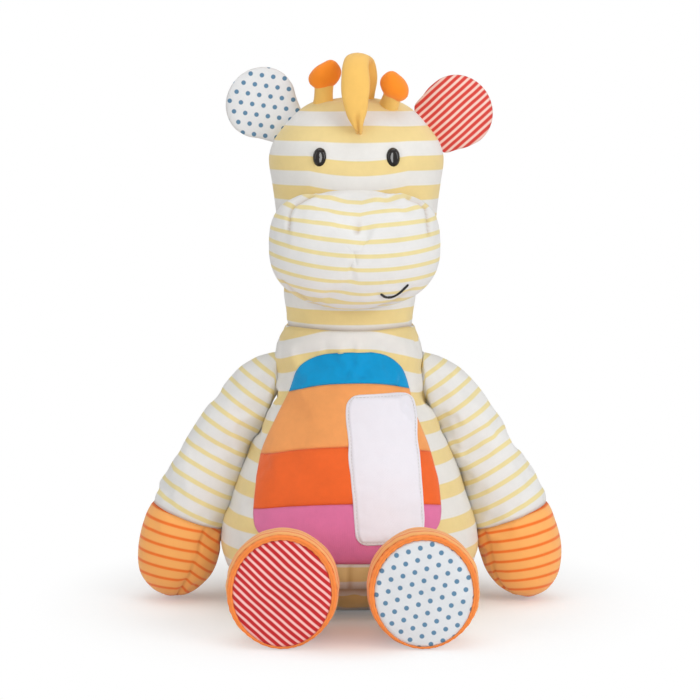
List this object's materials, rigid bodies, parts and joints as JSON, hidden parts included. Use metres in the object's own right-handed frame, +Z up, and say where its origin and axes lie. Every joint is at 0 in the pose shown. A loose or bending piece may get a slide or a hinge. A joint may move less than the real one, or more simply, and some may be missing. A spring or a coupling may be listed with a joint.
{
  "type": "plush giraffe",
  "caption": "Seated patchwork plush giraffe with a pear-shaped body, a big muzzle, dangling arms and flat round soles; head, neck, arms, legs, ears and tail move.",
  "frame": {"origin": "centre of the flat seat that the toy sits on, at floor level", "axes": "+Z up, the toy faces -Y, +X is on the right of someone who looks at its face"},
  "size_m": [0.3088, 0.281, 0.3977],
  "materials": {
    "striped_jersey": "cotton jersey knit with wide pale yellow and white stripes",
    "pale_jersey": "cotton jersey knit, white with thin pale yellow lines",
    "light_orange_jersey": "cotton jersey knit, light orange with thin darker lines",
    "bright_orange_jersey": "plain bright orange jersey",
    "golden_jersey": "plain golden yellow jersey",
    "blue_jersey": "plain blue jersey",
    "peach_jersey": "plain light orange jersey",
    "orange_jersey": "plain orange jersey",
    "pink_jersey": "plain pink jersey",
    "white_cloth": "smooth white cotton over a thin padding",
    "dotted_cotton": "woven cotton, white with round blue dots",
    "red_striped_cotton": "woven cotton with red and pale pink stripes",
    "filling": "loose polyester fibre",
    "pouch_cloth": "plain woven pouch packed with plastic pellets",
    "eye_plastic": "polished black plastic",
    "washer_plastic": "white moulded plastic",
    "black_thread": "stranded black embroidery thread"
  },
  "bodies": {
    "torso": {"torso_cover": "striped_jersey", "base_panel": "striped_jersey", "pellet_pouch": "pouch_cloth", "torso_filling": "filling", "tummy_band_pink": "pink_jersey", "tummy_band_orange": "orange_jersey", "tummy_band_peach": "peach_jersey", "tummy_band_blue": "blue_jersey", "chest_patch": "white_cloth"},
    "neck": {"neck_cover": "striped_jersey", "neck_filling": "filling"},
    "head": {"head_cover": "striped_jersey", "head_filling": "filling", "muzzle_cover": "pale_jersey", "muzzle_filling": "filling", "smile_thread": "black_thread", "eye_left": "eye_plastic", "eye_right": "eye_plastic", "eye_washer_left": "washer_plastic", "eye_washer_right": "washer_plastic", "horn_stalk_left": "golden_jersey", "horn_stalk_right": "golden_jersey", "horn_tip_left": "bright_orange_jersey", "horn_tip_right": "bright_orange_jersey", "forelock": "golden_jersey", "mane_loop_top": "golden_jersey", "mane_loop_middle": "golden_jersey", "mane_loop_low": "golden_jersey"},
    "ear_left": {"ear_front_left": "dotted_cotton", "ear_back_left": "striped_jersey"},
    "arm_left": {"arm_sleeve_left": "pale_jersey", "hand_cover_left": "light_orange_jersey", "arm_filling_left": "filling"},
    "leg_left": {"leg_cover_left": "striped_jersey", "foot_cover_left": "light_orange_jersey", "leg_filling_left": "filling", "sole_left": "red_striped_cotton", "foot_piping_left": "light_orange_jersey"},
    "ear_right": {"ear_front_right": "red_striped_cotton", "ear_back_right": "striped_jersey"},
    "arm_right": {"arm_sleeve_right": "pale_jersey", "hand_cover_right": "light_orange_jersey", "arm_filling_right": "filling"},
    "leg_right": {"leg_cover_right": "striped_jersey", "foot_cover_right": "light_orange_jersey", "leg_filling_right": "filling", "sole_right": "dotted_cotton", "foot_piping_right": "light_orange_jersey"},
    "tail": {"tail": "golden_jersey", "tail_tuft": "bright_orange_jersey"}
  },
  "joints": [
    {"name": "neck_nod", "type": "hinge", "parent": "torso", "child": "neck", "pos_m": [0, 0, 0.198], "axis": [1, 0, 0], "range_deg": [-12, 12], "stiffness_Nm_per_rad": 1.2},
    {"name": "head_turn", "type": "hinge", "parent": "neck", "child": "head", "pos_m": [0, 0, 0.2323], "axis": [0, 0, 1], "range_deg": [-25, 25], "stiffness_Nm_per_rad": 0.3},
    {"name": "arm_left_swing", "type": "hinge", "parent": "torso", "child": "arm_left", "pos_m": [-0.05142, 0, 0.167], "axis": [1, 0, 0], "range_deg": [-90, 30]},
    {"name": "arm_right_swing", "type": "hinge", "parent": "torso", "child": "arm_right", "pos_m": [0.05142, 0, 0.167], "axis": [1, 0, 0], "range_deg": [-90, 30]},
    {"name": "leg_left_lift", "type": "hinge", "parent": "torso", "child": "leg_left", "pos_m": [-0.0454, -0.08079, 0.027], "axis": [1, 0, 0], "range_deg": [-40, 75]},
    {"name": "leg_right_lift", "type": "hinge", "parent": "torso", "child": "leg_right", "pos_m": [0.0494, -0.07981, 0.027], "axis": [1, 0, 0], "range_deg": [-40, 75]},
    {"name": "ear_left_flap", "type": "hinge", "parent": "head", "child": "ear_left", "pos_m": [-0.04735, 0, 0.34815], "axis": [0.6691, 0, 0.7431], "range_deg": [-35, 35], "stiffness_Nm_per_rad": 0.05},
    {"name": "ear_right_flap", "type": "hinge", "parent": "head", "child": "ear_right", "pos_m": [0.05892, 0, 0.34512], "axis": [0.5446, 0, -0.8387], "range_deg": [-35, 35], "stiffness_Nm_per_rad": 0.05},
    {"name": "tail_wag", "type": "hinge", "parent": "torso", "child": "tail", "pos_m": [0, 0.08237, 0.044], "axis": [0, 0, 1], "range_deg": [-40, 40], "stiffness_Nm_per_rad": 0.02}
  ]
}
